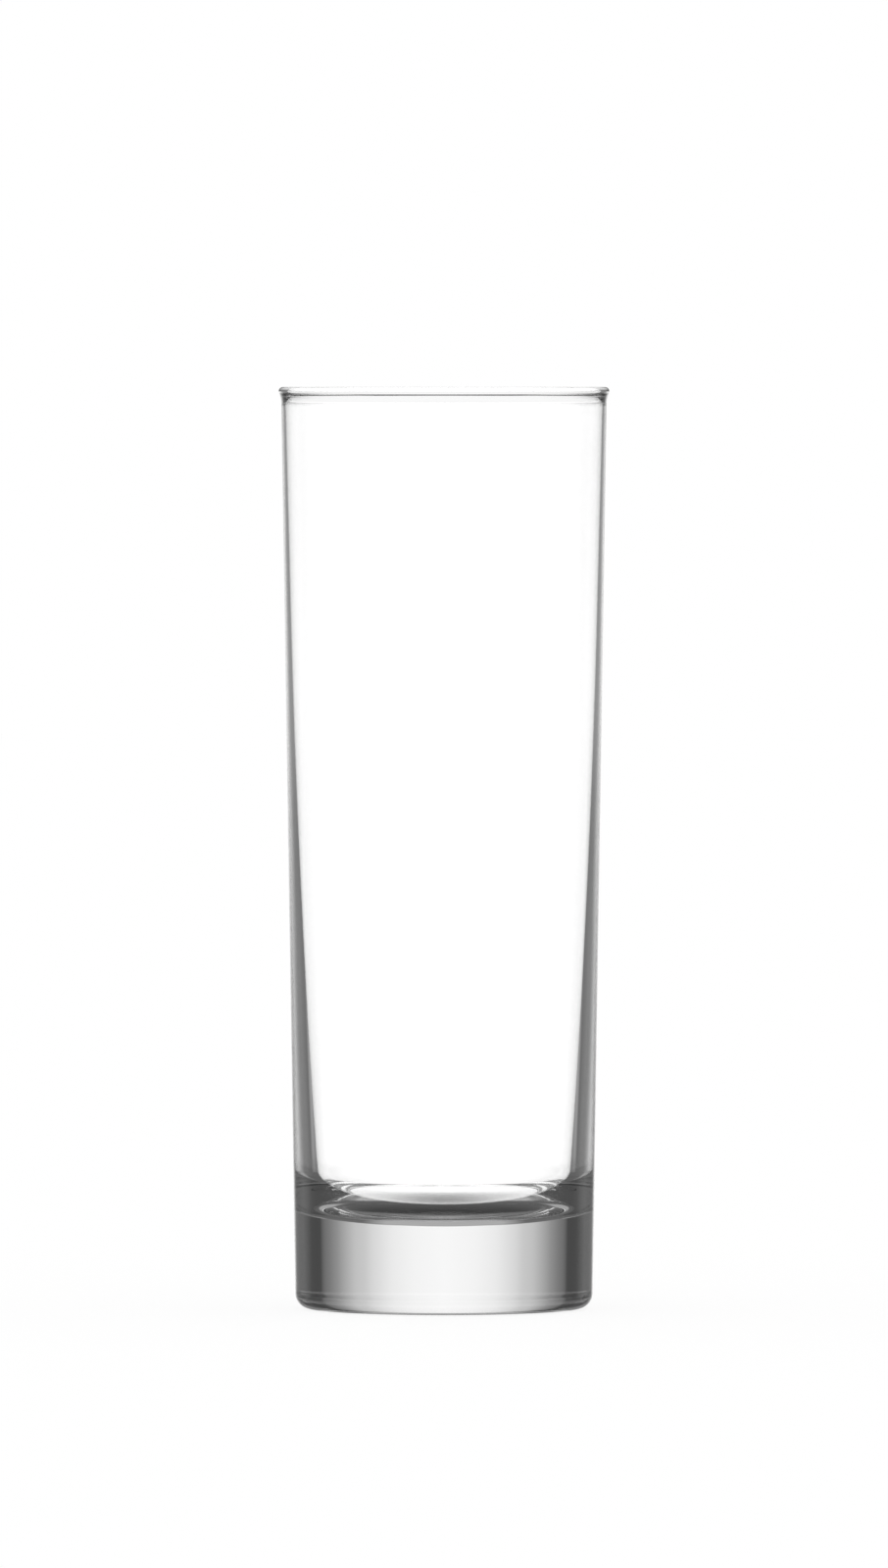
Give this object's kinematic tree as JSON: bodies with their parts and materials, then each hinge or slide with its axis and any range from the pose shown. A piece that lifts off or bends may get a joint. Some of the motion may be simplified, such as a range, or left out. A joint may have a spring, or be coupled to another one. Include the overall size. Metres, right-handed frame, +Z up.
{
  "type": "highball glass",
  "caption": "Tall slim tapered drinking glass in clear glass, with a thick solid base, a wall that thins upward and a rounded bead at the rim.",
  "frame": {"origin": "centre of the foot, on the surface that the glass stands on", "axes": "+Z up along the glass's own axis, from the foot to the rim; X and Y lie in the surface it stands on, and the glass is the same in every direction about Z"},
  "size_m": [0.0574, 0.0574, 0.16],
  "materials": {
    "glass": "clear and colourless, fire-polished, smooth all over"
  },
  "bodies": {
    "root": {"base": "glass", "wall": "glass", "rim": "glass"}
  },
  "joints": []
}
